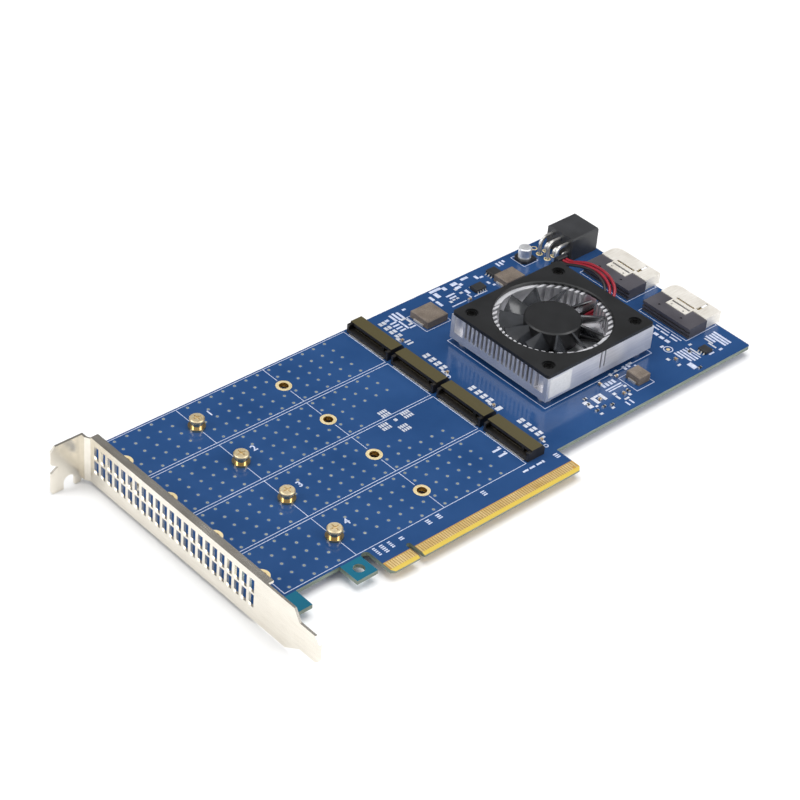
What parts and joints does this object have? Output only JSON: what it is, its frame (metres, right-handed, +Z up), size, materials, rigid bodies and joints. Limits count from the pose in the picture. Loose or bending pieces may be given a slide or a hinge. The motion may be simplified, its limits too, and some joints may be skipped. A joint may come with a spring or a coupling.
{
  "type": "nvme adapter card",
  "caption": "Full-height expansion card with sockets and posts for solid-state drive modules, a fan-cooled heat sink, power and storage sockets, and a vented steel bracket.",
  "frame": {"origin": "centre line of the key notch at the tip of the connector tongue, on the component face of the board", "axes": "+X from the bracket to the far end of the board, +Y from the edge connector to the opposite edge, +Z up out of the component face"},
  "size_m": [0.2463, 0.1247, 0.0196],
  "materials": {
    "solder_mask": "satin blue solder mask on a glass-epoxy board",
    "gold": "hard gold plating",
    "bracket_steel": "bright plated sheet steel",
    "brass": "turned brass, pale",
    "black_epoxy": "matte black moulding compound",
    "soft_pad": "soft grey filled silicone",
    "anodised_aluminium": "clear anodised extrusion",
    "screw_steel": "zinc-plated steel",
    "fan_plastic": "charcoal moulded plastic, fine texture",
    "black_screw": "black oxide",
    "bearing_bronze": "sintered bronze",
    "stator_iron": "laminated iron",
    "winding_copper": "enamelled copper",
    "header_plastic": "black moulded nylon",
    "red_insulation": "red insulation",
    "black_insulation": "black insulation",
    "socket_plastic": "charcoal moulded plastic",
    "tinned_pins": "bright tin plating",
    "can_aluminium": "drawn aluminium",
    "ceramic": "tan ceramic",
    "solder": "tinned ends",
    "shell_steel": "bright stamped steel",
    "choke_powder": "pressed powder core, taupe",
    "magnet_rubber": "bonded ferrite"
  },
  "bodies": {
    "card": {"circuit_board": "solder_mask", "edge_contacts": "gold", "pad_rings": "gold", "bracket": "bracket_steel", "bracket_screws": "brass", "module_posts": "brass", "module_screws": "brass", "switch_chip": "black_epoxy", "thermal_pad": "soft_pad", "heatsink": "anodised_aluminium", "heatsink_screws": "screw_steel", "fan_cover": "fan_plastic", "fan_cover_screws": "black_screw", "fan_base": "fan_plastic", "fan_bearing": "bearing_bronze", "fan_stator": "stator_iron", "fan_windings": "winding_copper", "fan_header": "header_plastic", "fan_plug": "header_plastic", "fan_wire_1": "red_insulation", "fan_wire_2": "red_insulation", "fan_wire_3": "black_insulation", "power_housing": "socket_plastic", "power_pins": "tinned_pins", "storage_contacts": "gold", "capacitor_base": "socket_plastic", "capacitor_can": "can_aluminium", "chip_packages": "black_epoxy", "chip_leads": "tinned_pins", "ceramic_capacitors": "ceramic", "chip_resistors": "black_epoxy", "chip_terminals": "solder", "module_socket_1": "socket_plastic", "module_contacts_1": "gold", "module_socket_2": "socket_plastic", "module_contacts_2": "gold", "module_socket_3": "socket_plastic", "module_contacts_3": "gold", "module_socket_4": "socket_plastic", "module_contacts_4": "gold", "storage_body_1": "socket_plastic", "storage_shell_1": "shell_steel", "storage_wafer_1": "socket_plastic", "storage_body_2": "socket_plastic", "storage_shell_2": "shell_steel", "storage_wafer_2": "socket_plastic", "inductor_1": "choke_powder", "inductor_2": "choke_powder", "inductor_3": "choke_powder"},
    "rotor": {"fan_rotor": "fan_plastic", "fan_shaft": "screw_steel", "fan_magnet": "magnet_rubber"}
  },
  "joints": [
    {"name": "fan_spin", "type": "hinge", "parent": "card", "child": "rotor", "pos_m": [0.11235, 0.0555, 0.01], "axis": [0, 0, 1], "continuous": true}
  ]
}
